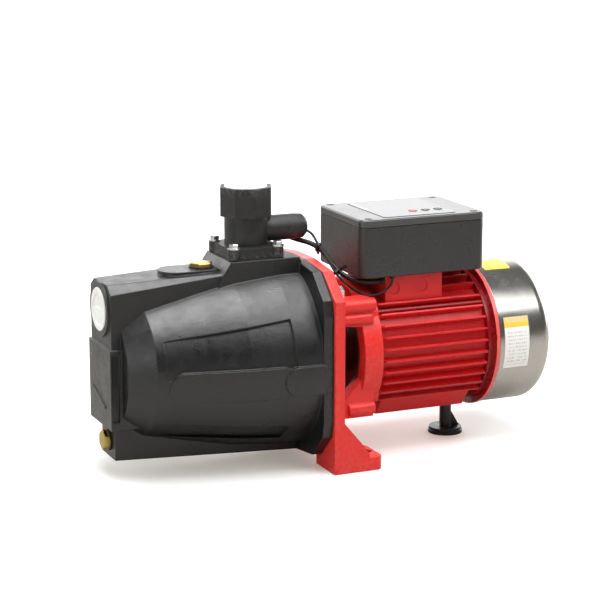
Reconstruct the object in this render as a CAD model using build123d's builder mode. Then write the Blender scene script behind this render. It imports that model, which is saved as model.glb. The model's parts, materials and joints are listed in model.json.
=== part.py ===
"""Shallow well jet pump: a self-priming cast-iron jet pump with its own motor, flow switch and control box.

Millimetres. +X runs along the shaft from the suction end to the motor, +Z is up, and the near side is -Y.
The origin is the centre of the two foot-bolt holes, on the surface that the pump stands on.
"""
from build123d import *
from math import cos, dist, pi, radians, sin, tan
import os

os.makedirs("parts", exist_ok=True)

# ---------------------------------------------------------------- driving dimensions
AXIS_Z = 100.0          # height of the shaft above the floor
SHAFT = Axis((0, 0, AXIS_Z), (1, 0, 0))

# Pump casing
JOINT_X = -42.0         # front face of the motor bracket, where the casing bolts on
GASKET = 0.8
FLANGE_BACK = JOINT_X - GASKET
FLANGE_THICK = 9.0
FRONT_X = -238.0        # face of the suction port
LOWER_FRONT_X = -231.0  # face of the narrower block that holds the drain plug
PORT_Z = 157.0          # height of the suction port
PORT_BOSS_R = 25.6
PILLAR_HALF = 31.0
RIB_HALF = 19.0         # bottom rib, which holds the drained sump
RIB_BOTTOM = (17.3, 7.5)
G1_WALL_R = 15.15       # minor radius of a G1 thread
G1_WALL = 20.0          # length of thread
WATERWAY_R = 14.6       # bore behind the thread
CAP_R = 20.0            # protective caps of both ports
CAP_SEAT = 1.5          # depth of the face that the cap's rim sits in
CAP_PLUG_R = 16.8
CAP_PLUG = 3.0
RELIEF_R = 17.0         # lead-in ahead of the thread, which the cap's plug fills
RELIEF = 3.5
CONE = [(-227, 50), (-204, 64), (-158, 74), (-119, 82), (-77, 86), (-50, 87)]
CHAMBER_R = 80.5        # widest part of the pump chamber
CHANNEL_HALF = 29.0
RECESS = 2.4            # full depth of the hollows in the sides
PAD_RISE = 2.6          # height of the long pads on the sides
BOSS_RISE = 3.8         # height of the short bosses on the sides
GROOVE_Y = 28.0         # floor of the grooves between the pillar and the cone
PAD_TOP = 196.2         # machined pad under the flow switch
FILLER_TOP = 188.0
FILLER_X = -138.0
FILLER_PAD_X = -148.0
FILLER_R = 8.0          # thread of the filler plug
SWITCH_X = -93.0        # axis of the flow switch and of the discharge port
DRAIN_Z = 33.0
DRAIN_R = 6.5           # thread of the drain plug
WASHER = 1.2            # thickness of both plugs' washers
BOLT_Y = 70.0           # casing bolts, from the shaft's axis
BOLT_Z = 67.0

# Ejector
NOZZLE_R = 9.0
NOZZLE_WALL = (-216.0, -210.0)
VENTURI_WALL = (-178.0, -172.0)
VENTURI_R = 14.0

# Bracket and feet
BRACKET_HALF = 90.0
PLATE_BACK = -32.0
FOOT_IN = 47.7
FOOT_END = 8.0
FOOT_HEIGHT = 12.7
FOOT_HOLE_Y = 69.0
FOOT_HOLE_R = 5.5
RING_R = 66.0
RING_X = (0.0, 19.0)
ARM_Y = (44.0, 58.0)    # both pairs of arms, from the shaft's axis
UPPER_ARM = [(-32, 133), (4, 130), (12, 130), (12, 156), (4, 158), (-32, 157)]
LOWER_ARM = [(-32, 43), (12, 43), (12, 67), (4, 84), (-18, 60), (-32, 48)]
RIB_Y = 55.5            # round ribs along the arms: their span, height and radius
ARM_RIBS = [((-34, 13), 150.5, 6.5), ((-34, 10), 138.0, 6.0), ((-14, 13), 51.0, 6.5)]
LUG_R = 8.0             # lugs round the tie bolts
TIE_R = 60.8            # tie bolts run between the cooling fins
TIE_ANGLES = (41, 139, 219, 321)
TIE_HOLE_R = 2.55

# Motor
HOUSING_X = (19.0, 132.0)
HOUSING_R = 58.0
BORE_R = 55.05
FIN_MIDDLE = 61.5       # radius of the middle of a fin
FIN_DEPTH = 9.0
FIN_THICK = 2.0
SIDE_FINS = range(-44, 47, 10)      # angles of the fins on both sides, from the shaft's level
TOP_FINS = range(60, 121, 12)       # angles of the short fins behind the terminal base
FIN_END = 130.4         # rear ends of the fins
PAD_X = (30.0, 124.0)   # smooth pad under the housing
STACK_X = (39.0, 117.0)
STATOR_BORE_R = 32.0
ROTOR_R = 31.6
SHIELD_X = (132.0, 140.8)
SHIELD_BODY_R = 64.5
SHIELD_RIM_X = 137.2    # front of the shield's narrow rim
SHIELD_R = 71.0
COVER_R = 69.9
COVER_START_X = 141.6
COVER_SHELL = 1.2
COVER_STEP_X = 187.0
COVER_CORNER_R = 13.5
COVER_END_X = COVER_STEP_X + COVER_CORNER_R
FRONT_BEARING_X = (2.0, 14.0)
REAR_BEARING_X = (127.0, 138.0)
TERMINAL_X = (31.5, 91.5)
TERMINAL_HALF = 42.0
BOX_BOTTOM = 173.2
BOX_SCREW_X = (TERMINAL_X[0] + 3, TERMINAL_X[1] - 3)
BOX_SCREW_Y = 38.0
FOOT_X = 119.5          # support foot under the motor
FOOT_TUBE_R = 5.75
FOOT_SCREW_R = 2.5

# Control box
BOX_X = (2.8, 133.6)
BOX_HALF = 50.0
BOX_WALL = 2.5
BOX_CORNER = 8.0
LID_JOINT = 221.0
LID_TOP = 229.0
LID_SCREW_X = (12.8, 123.6)
LID_SCREW_Y = 43.0
LID_POST_R = 5.0
PANEL_X = 68.2          # middle of the lid's panel
PANEL_SIZE = (76.4, 84.0)
KEYS = {"power_button": 71.0, "mode_button": 84.2, "reset_button": 97.6}
KEY_Y = -19.5
KEY_R = 4.2
KEY_GAP = 0.35
GLAND_X = 104.0
GLAND_Z = 197.0

# Flow switch
SWITCH_BASE = PAD_TOP + GASKET
SWITCH_TOP = 261.0
SWITCH_BOLT_X = 21.7
SWITCH_BOLT_Y = 24.0
SENSOR_Z = 219.7

# Shaft
SHAFT_PUMP_R = 7.0
SHAFT_BEARING_R = 8.5
SHAFT_CORE_R = 12.0
SHAFT_REAR_R = 7.5
IMPELLER_R = 62.0


# ---------------------------------------------------------------- helpers
def axis_plane(x):
    """The plane across the shaft at x: its local axes are Y and Z, from the shaft's centre."""
    return Plane(origin=(x, 0, AXIS_Z), x_dir=(0, 1, 0), z_dir=(1, 0, 0))


def block(x, y, z, mode=Mode.ADD):
    """A box given by its limits on each axis."""
    with Locations((sum(x) / 2, sum(y) / 2, sum(z) / 2)):
        Box(x[1] - x[0], y[1] - y[0], z[1] - z[0], mode=mode)


def rod_x(x, radius, y=0.0, z=AXIS_Z, mode=Mode.ADD):
    """A cylinder along X between two limits."""
    with Locations(Location((sum(x) / 2, y, z), (0, 90, 0))):
        Cylinder(radius, x[1] - x[0], mode=mode)


def rod_y(y, radius, x, z, mode=Mode.ADD):
    """A cylinder along Y between two limits."""
    with Locations(Location((x, sum(y) / 2, z), (90, 0, 0))):
        Cylinder(radius, y[1] - y[0], mode=mode)


def rod_z(z, radius, x, y=0.0, mode=Mode.ADD):
    """A cylinder along Z between two limits."""
    with Locations((x, y, sum(z) / 2)):
        Cylinder(radius, z[1] - z[0], mode=mode)


def turned(points, mode=Mode.ADD, axis=SHAFT):
    """A closed (x, radius) outline turned about the shaft, or about another axis along X."""
    with BuildSketch(Plane.XZ) as outline:
        with BuildLine():
            Polyline([(x, axis.position.Z + r) for x, r in points], close=True)
        make_face()
    revolve(outline.sketch, axis=axis, mode=mode)


def ring_x(x, outer, inner, mode=Mode.ADD):
    """A plain ring about the shaft."""
    turned([(x[0], inner), (x[0], outer), (x[1], outer), (x[1], inner)], mode=mode)


def at_angle(radius, angle):
    """The (y, z) place at a radius from the shaft, the angle counted from +Y towards +Z."""
    return radius * cos(radians(angle)), AXIS_Z + radius * sin(radians(angle))


def hex_screw(flats, head, shank_r, length, collar_r=0.0):
    """A hex-head screw: its head stands on XY and its shank runs down -Z."""
    with BuildPart() as screw:
        with BuildSketch():
            RegularPolygon(flats / 2, 6, major_radius=False)
        extrude(amount=head)
        chamfer(screw.faces().sort_by(Axis.Z)[-1].edges(), 0.12 * head)
        if collar_r:
            with Locations((0, 0, 0.6)):
                Cylinder(collar_r, 1.2)
        with Locations((0, 0, -length / 2)):
            Cylinder(shank_r, length)
    return screw.part


def pan_screw(head_r, head, shank_r, length):
    """A cross-recess pan-head screw: its head stands on XY and its shank runs down -Z."""
    with BuildPart() as screw:
        with Locations((0, 0, head / 2)):
            Cylinder(head_r, head)
        fillet(screw.faces().sort_by(Axis.Z)[-1].edges(), 0.45 * head)
        with Locations((0, 0, head)):
            Box(head_r * 1.1, head_r * 0.28, head, mode=Mode.SUBTRACT)
            Box(head_r * 0.28, head_r * 1.1, head, mode=Mode.SUBTRACT)
        with Locations((0, 0, -length / 2)):
            Cylinder(shank_r, length)
    return screw.part


def placed(part, origin, outward):
    """A copy of a screw made on XY, its head pointing outward from its seat."""
    return part.moved(Plane(origin=origin, z_dir=outward).location)


def finish(builder, name):
    """Label a finished piece and write it."""
    builder.part.label = name
    export_step(builder.part, f"parts/{name}.step")


# ---------------------------------------------------------------- pump casing
def cone_outline(grow, end=-50.0):
    """The casing's cone, its surface moved outwards by a distance."""
    points = [(x, r + grow) for x, r in CONE]
    points[-1] = (end, points[-1][1])
    return [(points[0][0], 0)] + points + [(end, 0)]


def side_skin(inner, outer):
    """The layer of the cone's surface between two offsets."""
    with BuildPart() as skin:
        turned(cone_outline(outer))
        turned(cone_outline(inner), mode=Mode.SUBTRACT)
    return skin.part


def recess_depth(x):
    """Depth of the hollows in the casing's sides: none at the front, growing to its full value."""
    return RECESS * min(1, max(0, (x - CONE[1][0]) / 46))


# Long pads on the sides: proud of the cone at their top edge, and fading into it below
RAISED = Axis((0, 0, AXIS_Z + 6.6), (1, 0, 0))
with BuildPart() as side_pads:
    turned(cone_outline(PAD_RISE), axis=RAISED)
    turned(cone_outline(-4), mode=Mode.SUBTRACT)
    with BuildSketch(Plane.XZ):
        with Locations((-135, 91.5)):
            SlotOverall(118, 30)
    extrude(amount=120, both=True, mode=Mode.INTERSECT)

with BuildPart() as side_bosses:
    add(side_skin(-4, BOSS_RISE))
    with BuildSketch(Plane.XZ):
        with Locations((-60.5, 92.2)):
            SlotOverall(58, 28)
    extrude(amount=120, both=True, mode=Mode.INTERSECT)

with BuildPart() as side_hollows:
    # They fade out towards the front, where their floor meets the cone
    turned(cone_outline(8))
    hollow_floor = [(x, r - recess_depth(x)) for x, r in CONE]
    turned([(CONE[0][0], 0)] + hollow_floor + [(CONE[-1][0], 0)], mode=Mode.SUBTRACT)
    with BuildSketch(Plane.XZ):
        with BuildLine():
            Polyline([(-196, 134), (-79, 147.5), (-77, 100), (-196, 100)], close=True)
        make_face()
        with BuildLine():
            Polyline([(-207, 57), (-78, 45), (-80, 30), (-206, 40)], close=True)
        make_face()
    extrude(amount=120, both=True, mode=Mode.INTERSECT)

FLANGE_HALF_OUTLINE = [(22, 91.5), (60, 87), (84, 64.5), (87, 50)]
flange_outline = list(FLANGE_HALF_OUTLINE)
flange_outline += [(y, -z) for y, z in reversed(FLANGE_HALF_OUTLINE)]
flange_outline += [(-y, -z) for y, z in FLANGE_HALF_OUTLINE]
flange_outline += [(-y, z) for y, z in reversed(FLANGE_HALF_OUTLINE)]

CHANNEL_FRONT = [(-29, 90), (-29, 174.6), (-18, 182.5), (18, 182.5), (29, 174.6), (29, 90)]
CHANNEL_REAR = [(-29, 90), (-29, 184.5), (-27.5, 186), (27.5, 186), (29, 184.5), (29, 90)]

with BuildPart() as pump_body:
    turned(cone_outline(0))
    add(side_hollows.part, mode=Mode.SUBTRACT)
    add(side_pads.part)
    add(side_bosses.part)
    with BuildSketch(axis_plane(FLANGE_BACK - FLANGE_THICK)):
        Polygon(*flange_outline, align=None)
    extrude(amount=FLANGE_THICK)
    # Front pillar, suction boss and the channel that runs back to the discharge pad
    block((FRONT_X, -200), (-PILLAR_HALF, PILLAR_HALF), (49, 124))
    for side in (-1, 1):
        with BuildSketch(Plane.XZ.offset(-side * GROOVE_Y)):
            with Locations((-232.7, 88)):
                RectangleRounded(6.5, 64, 3)
        extrude(amount=-side * 8, mode=Mode.SUBTRACT)
    rod_x((FRONT_X, -200), PORT_BOSS_R, z=PORT_Z)
    with BuildSketch(Plane.YZ.offset(FRONT_X + 2)):
        Polygon(*CHANNEL_FRONT, align=None)
    with BuildSketch(Plane.YZ.offset(-123)):
        Polygon(*CHANNEL_REAR, align=None)
    loft(ruled=True)
    block((-123, FLANGE_BACK - 4), (-CHANNEL_HALF, CHANNEL_HALF), (90, 186))
    # Bottom rib, which holds the drained sump
    with BuildSketch(Plane.XZ):
        with BuildLine():
            Polyline(
                [(LOWER_FRONT_X, 62), (LOWER_FRONT_X, RIB_BOTTOM[0]), (-50, RIB_BOTTOM[1]), (-50, 62)],
                close=True,
            )
        make_face()
    extrude(amount=RIB_HALF, both=True)
    # Discharge pad and filler pad
    with BuildSketch(Plane.XZ):
        with BuildLine():
            Polyline(
                [(-132, 178), (-120, PAD_TOP), (-52, PAD_TOP), (-46, 182), (-46, 150), (-132, 150)],
                close=True,
            )
        make_face()
    extrude(amount=31, both=True)
    with BuildSketch(Plane.XY.offset(176)):
        with Locations((FILLER_PAD_X, 0)):
            SlotOverall(64, 34)
    extrude(amount=FILLER_TOP - 176)
    # Line of the foundry's mark on the pillar
    with BuildSketch(Plane.YZ.offset(FRONT_X - 0.8)):
        with Locations(Location((3, 74), 20)):
            Rectangle(38, 2.2)
    extrude(amount=2)
    # Pump chamber, channel and sump
    inner = [(-226, 0), (-226, 27), (-221, 27), (-221, 44), (-204, 58), (-158, 68.5), (-119, 76.5)]
    inner += [(-77, CHAMBER_R), (-40, CHAMBER_R), (-40, 0)]
    turned(inner, mode=Mode.SUBTRACT)
    block((-168, -62), (-23, 23), (130, 178), mode=Mode.SUBTRACT)
    block((-222, -62), (-13, 13), (26, 62), mode=Mode.SUBTRACT)
    # Suction box round the nozzle's tip, closed off from the pump chamber
    block((NOZZLE_WALL[0], VENTURI_WALL[1]), (-24, 24), (74, 180))
    block((NOZZLE_WALL[1], VENTURI_WALL[0]), (-18, 18), (82, 172), mode=Mode.SUBTRACT)
    rod_x(NOZZLE_WALL, NOZZLE_R + 0.05, mode=Mode.SUBTRACT)
    rod_x(VENTURI_WALL, VENTURI_R + 0.05, mode=Mode.SUBTRACT)
    # Suction port: cap seat, lead-in and thread wall
    rod_x((FRONT_X - 1, NOZZLE_WALL[1] + 1), WATERWAY_R, z=PORT_Z, mode=Mode.SUBTRACT)
    rod_x((FRONT_X - 1, FRONT_X + CAP_SEAT + RELIEF + G1_WALL), G1_WALL_R, z=PORT_Z, mode=Mode.SUBTRACT)
    rod_x((FRONT_X - 1, FRONT_X + CAP_SEAT + RELIEF), RELIEF_R, z=PORT_Z, mode=Mode.SUBTRACT)
    rod_x((FRONT_X - 1, FRONT_X + CAP_SEAT), CAP_R + 0.35, z=PORT_Z, mode=Mode.SUBTRACT)
    # Discharge, filler and drain holes
    rod_z((170, 200), 14, SWITCH_X, mode=Mode.SUBTRACT)
    rod_z((170, 192), FILLER_R + 0.05, FILLER_X, mode=Mode.SUBTRACT)
    rod_x((LOWER_FRONT_X - 1, -215), DRAIN_R + 0.05, z=DRAIN_Z, mode=Mode.SUBTRACT)
    # Threaded holes for the flow switch and for the bracket's bolts
    for x in (SWITCH_X - SWITCH_BOLT_X, SWITCH_X + SWITCH_BOLT_X):
        for y in (-SWITCH_BOLT_Y, SWITCH_BOLT_Y):
            rod_z((PAD_TOP - 12, PAD_TOP + 1), 3.05, x, y, mode=Mode.SUBTRACT)
    for y in (-BOLT_Y, BOLT_Y):
        for z in (-BOLT_Z, BOLT_Z):
            rod_x((FLANGE_BACK - 7, FLANGE_BACK + 1), 4.05, y, AXIS_Z + z, mode=Mode.SUBTRACT)
finish(pump_body, "pump_body")

with BuildPart() as body_gasket:
    with BuildSketch(axis_plane(FLANGE_BACK)):
        Polygon(*flange_outline, align=None)
        Circle(CHAMBER_R, mode=Mode.SUBTRACT)
        for y in (-BOLT_Y, BOLT_Y):
            for z in (-BOLT_Z, BOLT_Z):
                with Locations((y, z)):
                    Circle(4.3, mode=Mode.SUBTRACT)
    extrude(amount=GASKET)
finish(body_gasket, "body_gasket")

with BuildPart() as body_bolts:
    bolt = hex_screw(13, 5.5, 4.0, 16.5, collar_r=8.0)
    for y in (-BOLT_Y, BOLT_Y):
        for z in (-BOLT_Z, BOLT_Z):
            add(placed(bolt, (PLATE_BACK, y, AXIS_Z + z), (1, 0, 0)))
finish(body_bolts, "body_bolts")

# Protective caps: a dished rim with a short push-in plug behind it
with BuildPart() as suction_cap:
    rim_back = FRONT_X + CAP_SEAT
    axis = Axis((0, 0, PORT_Z), (1, 0, 0))
    turned(
        [
            (rim_back - 2.5, 15), (rim_back - 2.5, CAP_R - 0.6),
            (rim_back - 1.9, CAP_R), (rim_back, CAP_R),
            (rim_back, CAP_PLUG_R), (rim_back + CAP_PLUG, CAP_PLUG_R - 0.3),
            (rim_back + CAP_PLUG, CAP_PLUG_R - 2), (rim_back + 0.6, CAP_PLUG_R - 2),
            (rim_back + 0.6, 0), (rim_back - 0.8, 0), (rim_back - 0.8, 14),
        ],
        axis=axis,
    )
    block((rim_back - 2.2, rim_back - 0.7), (-11, 11), (PORT_Z - 1.2, PORT_Z + 1.2))
finish(suction_cap, "suction_cap")

with BuildPart() as filler_plug:
    add(placed(hex_screw(19, 3.2, FILLER_R, 13.0), (FILLER_X, 0, FILLER_TOP + WASHER), (0, 0, 1)))
finish(filler_plug, "filler_plug")

with BuildPart() as drain_plug:
    drain_seat = (LOWER_FRONT_X - WASHER, 0, DRAIN_Z)
    add(placed(hex_screw(17, 5.5, DRAIN_R, 11.0, collar_r=9.8), drain_seat, (-1, 0, 0)))
finish(drain_plug, "drain_plug")

with BuildPart() as plug_washers:
    rod_z((FILLER_TOP, FILLER_TOP + WASHER), 11.5, FILLER_X)
    rod_z((FILLER_TOP - 1, FILLER_TOP + 2), FILLER_R + 0.1, FILLER_X, mode=Mode.SUBTRACT)
    rod_x((LOWER_FRONT_X - WASHER, LOWER_FRONT_X), 10.2, z=DRAIN_Z)
    rod_x((LOWER_FRONT_X - 2, LOWER_FRONT_X + 1), DRAIN_R + 0.1, z=DRAIN_Z, mode=Mode.SUBTRACT)
finish(plug_washers, "plug_washers")

# ---------------------------------------------------------------- ejector and hydraulics
with BuildPart() as jet_nozzle:
    turned([(-223, 4.5), (-223, 12), (-216, 12), (-216, NOZZLE_R), (-207, NOZZLE_R), (-186, 5), (-186, 3.2),
            (-208, 6), (-216, 6)])
finish(jet_nozzle, "jet_nozzle")

with BuildPart() as venturi_tube:
    turned(
        [
            (-182, 12.5), (-178, VENTURI_R), (-150, VENTURI_R), (-96, 19), (-93, 19), (-93, 25), (-88, 25),
            (-88, 18), (-92, 16.5), (-160, 8.5), (-172, 8.5),
        ]
    )
finish(venturi_tube, "venturi_tube")

with BuildPart() as diffuser:
    turned([(-88, 22.5), (-88, 78), (JOINT_X, 78), (JOINT_X, 75), (-84, 75), (-84, 22.5)])
    with BuildSketch(axis_plane(-84)) as guide_vanes:
        with PolarLocations(69.5, 9):
            with Locations(Location((0, 0), 62)):
                Rectangle(16, 2)
    extrude(amount=24)
finish(diffuser, "diffuser")

with BuildPart() as impeller:
    turned([(-82, 18), (-82, 22.3), (-72, 22.3), (-72, IMPELLER_R), (-70, IMPELLER_R), (-70, 18)])
    turned([
        (-78, SHAFT_PUMP_R), (-78, 12), (-64, 14), (-64, IMPELLER_R),
        (-62, IMPELLER_R), (-62, 14), (-58, 12), (-58, SHAFT_PUMP_R),
    ])
    with BuildSketch(axis_plane(-70.5)) as blades:
        with PolarLocations(0, 6):
            with BuildLine():
                arc_out = ThreePointArc((17, 0), (38, 14), (50, 35))
                arc_in = ThreePointArc((48, 37), (36.4, 15.4), (16.5, 1.8))
                Line(arc_out @ 1, arc_in @ 0)
                Line(arc_in @ 1, arc_out @ 0)
            make_face()
    extrude(amount=7)
finish(impeller, "impeller")

with BuildPart() as impeller_nut:
    with BuildSketch(axis_plane(-84.5)):
        RegularPolygon(6.5, 6, major_radius=False)
        Circle(4.05, mode=Mode.SUBTRACT)
    extrude(amount=6.5)
finish(impeller_nut, "impeller_nut")

# Mechanical seal: fixed ceramic seat, turning carbon head and the spring that loads it
with BuildPart() as seal_seat:
    ring_x((-41, -33), 13, 8.5)
finish(seal_seat, "seal_seat")

with BuildPart() as seal_head:
    turned([(-49, 7.05), (-49, 11), (-45, 11), (-45, 12), (-41, 12), (-41, 7.05)])
finish(seal_head, "seal_head")

with BuildPart() as seal_spring:
    SPRING_R = 9.2
    with BuildLine() as seal_coil:
        Helix(pitch=2.4, height=7.4, radius=SPRING_R, center=(-57.2, 0, AXIS_Z), direction=(1, 0, 0))
    with BuildSketch(Plane(origin=seal_coil.wire() @ 0, z_dir=seal_coil.wire() % 0)):
        Circle(0.7)
    sweep(is_frenet=True)
finish(seal_spring, "seal_spring")

# ---------------------------------------------------------------- motor bracket
with BuildPart() as motor_bracket:
    plate_half = [
        (20, 91.5), (62, 86.7), (BRACKET_HALF, 63.5),
        (BRACKET_HALF, -AXIS_Z), (FOOT_IN, -AXIS_Z), (FOOT_IN, -91.5),
    ]
    with BuildSketch(axis_plane(JOINT_X)):
        Polygon(*plate_half, *[(-y, z) for y, z in reversed(plate_half)], align=None)
    extrude(amount=PLATE_BACK - JOINT_X)
    # Feet with their gussets, spot-faced round the bolt holes
    foot_outline = [
        (JOINT_X, 0), (FOOT_END, 0), (FOOT_END, FOOT_HEIGHT), (-5, FOOT_HEIGHT),
        (-11.4, 23.8), (PLATE_BACK, 48.4), (JOINT_X, 48.4),
    ]
    for side in (-1, 1):
        outer = side * BRACKET_HALF
        with BuildSketch(Plane.XZ.offset(-outer)):
            with BuildLine():
                Polyline(foot_outline, close=True)
            make_face()
        extrude(amount=side * (BRACKET_HALF - FOOT_IN))
        rod_z((FOOT_HEIGHT, 60), 22, 0, side * FOOT_HOLE_Y, mode=Mode.SUBTRACT)
        rod_z((-1, FOOT_HEIGHT + 1), FOOT_HOLE_R, 0, side * FOOT_HOLE_Y, mode=Mode.SUBTRACT)
    upright_edges = motor_bracket.edges().filter_by(Axis.Z)
    fillet(upright_edges.filter_by_position(Axis.X, FOOT_END - 0.1, FOOT_END + 0.1), 7)
    # Pockets in the gussets for the heads of the lower casing bolts
    for side in (-1, 1):
        rod_x((PLATE_BACK, 0), 9.5, side * BOLT_Y, AXIS_Z - BOLT_Z, mode=Mode.SUBTRACT)
    # Arms from the plate to the motor ring
    for side in (-1, 1):
        with BuildSketch(Plane.XZ.offset(side * ARM_Y[1])):
            with BuildLine():
                Polyline(UPPER_ARM, close=True)
            make_face()
            with BuildLine():
                Polyline(LOWER_ARM, close=True)
            make_face()
        extrude(amount=side * (ARM_Y[0] - ARM_Y[1]))
        for x, z, radius in ARM_RIBS:
            rod_x(x, radius, side * RIB_Y, z)
    ring_x(RING_X, RING_R, 50)
    for angle in TIE_ANGLES:
        y, z = at_angle(TIE_R, angle)
        rod_x((4, RING_X[1]), LUG_R, y, z)
    ring_x((RING_X[1] - 1, RING_X[1] + 5), BORE_R - 0.05, 50)
    # Web, bearing seat and shaft hole
    ring_x((4, 10), 52, 20)
    ring_x((-4, 18), 27, 15)
    ring_x(FRONT_BEARING_X, 20.0, 14, mode=Mode.SUBTRACT)
    ring_x((FRONT_BEARING_X[1], 19), 20.0, 14, mode=Mode.SUBTRACT)
    # Seal housing on the plate, with its seat's pocket and the shaft hole
    ring_x((JOINT_X + 5, -24), 21, 9)
    ring_x((JOINT_X - 1, -33), 13.0, 0, mode=Mode.SUBTRACT)
    rod_x((JOINT_X - 1, 3), 9, mode=Mode.SUBTRACT)
    for angle in TIE_ANGLES:
        y, z = at_angle(TIE_R, angle)
        rod_x((3, RING_X[1] + 1), TIE_HOLE_R, y, z, mode=Mode.SUBTRACT)
    for y in (-BOLT_Y, BOLT_Y):
        for z in (-BOLT_Z, BOLT_Z):
            rod_x((JOINT_X - 1, PLATE_BACK + 1), 4.05, y, AXIS_Z + z, mode=Mode.SUBTRACT)
finish(motor_bracket, "motor_bracket")

# ---------------------------------------------------------------- shaft line
with BuildPart() as motor_shaft:
    turned(
        [
            (-86, 0), (-86, 4), (-78, 4), (-78, SHAFT_PUMP_R), (-8, SHAFT_PUMP_R), (-8, SHAFT_BEARING_R),
            (FRONT_BEARING_X[1], SHAFT_BEARING_R), (FRONT_BEARING_X[1], 10), (STACK_X[0] - 6, 10),
            (STACK_X[0] - 6, SHAFT_CORE_R), (STACK_X[1] + 6, SHAFT_CORE_R), (STACK_X[1] + 6, 9),
            (REAR_BEARING_X[0], 9), (REAR_BEARING_X[0], SHAFT_REAR_R),
            (146, SHAFT_REAR_R), (146, 6), (168, 6), (168, 0),
        ]
    )
finish(motor_shaft, "motor_shaft")

with BuildPart() as slinger:
    turned([
        (-18, SHAFT_PUMP_R), (-18, 15), (-16, 17), (-14.5, 17),
        (-14.5, 11), (-11, 10), (-11, SHAFT_PUMP_R),
    ])
finish(slinger, "slinger")

with BuildPart() as rotor_core:
    ring_x(STACK_X, ROTOR_R, SHAFT_CORE_R)
    for x in ((STACK_X[0] - 6, STACK_X[0]), (STACK_X[1], STACK_X[1] + 6)):
        ring_x(x, 30, 20)
finish(rotor_core, "rotor_core")


def bearing(x, bore, outside, pitch, ball, count):
    """A deep-groove ball bearing: its inner ring, its balls and its outer ring."""
    middle = sum(x) / 2
    with BuildPart() as track:
        with BuildSketch(Plane.XZ):
            with Locations((middle, AXIS_Z + pitch)):
                Circle(ball + 0.05)
        revolve(axis=SHAFT)
    with BuildPart() as inner_ring:
        ring_x(x, pitch - 0.62 * ball, bore)
        add(track.part, mode=Mode.SUBTRACT)
    with BuildPart() as outer_ring:
        ring_x(x, outside, pitch + 0.62 * ball)
        add(track.part, mode=Mode.SUBTRACT)
    with BuildPart() as balls:
        for number in range(count):
            y, z = at_angle(pitch, 360 * number / count)
            with Locations((middle, y, z)):
                Sphere(ball)
    return inner_ring, balls, outer_ring


front_inner, front_balls, front_outer = bearing(FRONT_BEARING_X, SHAFT_BEARING_R, 20.0, 14.25, 3.4, 8)
rear_inner, rear_balls, rear_outer = bearing(REAR_BEARING_X, SHAFT_REAR_R, 17.5, 12.5, 2.95, 8)
for name, pair in (
    ("bearing_inner_rings", (front_inner, rear_inner)),
    ("bearing_balls", (front_balls, rear_balls)),
    ("bearing_outer_rings", (front_outer, rear_outer)),
):
    with BuildPart() as both_bearings:
        for one in pair:
            add(one.part)
    finish(both_bearings, name)

# ---------------------------------------------------------------- motor
SLOTS = 24
COVER_SCREW_X = 145.4
COVER_SCREW_ANGLES = (66, 345, 264)


def cover_screw_plane(radius, angle):
    """The plane of a fan-cover screw's seat, facing outwards."""
    y, z = at_angle(radius, angle)
    return Plane(origin=(COVER_SCREW_X, y, z), z_dir=(0, y, z - AXIS_Z))


def cover_screw_holes():
    """Holes for the fan cover's screws."""
    for angle in COVER_SCREW_ANGLES:
        with Locations(cover_screw_plane(COVER_R - 4, angle)):
            Cylinder(2.1, 14, mode=Mode.SUBTRACT)


with BuildPart() as stator_core:
    ring_x(STACK_X, BORE_R - 0.05, STATOR_BORE_R)
    with BuildSketch(axis_plane(STACK_X[0])):
        with PolarLocations(40, SLOTS):
            Rectangle(13, 5)
    extrude(amount=STACK_X[1] - STACK_X[0], mode=Mode.SUBTRACT)
finish(stator_core, "stator_core")

with BuildPart() as stator_winding:
    for ends in ((STACK_X[0] - 15, STACK_X[0]), (STACK_X[1], STACK_X[1] + 12)):
        turned([(ends[0], 37), (ends[0], 49), (ends[1], 47), (ends[1], 34)])
    fillet(stator_winding.edges().filter_by(GeomType.CIRCLE).filter_by_position(Axis.X, 23, 25), 3)
    with BuildSketch(axis_plane(STACK_X[0])):
        with PolarLocations(40.3, SLOTS):
            Rectangle(12, 4.8)
    extrude(amount=STACK_X[1] - STACK_X[0])
finish(stator_winding, "stator_winding")

def fin(x, angle):
    """A radial cooling fin between two places along the shaft."""
    middle = Vector(FIN_MIDDLE, 0).rotate(Axis.Z, angle)
    with BuildSketch(axis_plane(x[0])) as section:
        with Locations(Location((middle.X, middle.Y), angle)):
            Rectangle(FIN_DEPTH, FIN_THICK)
    extrude(section.sketch, amount=x[1] - x[0])


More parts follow.
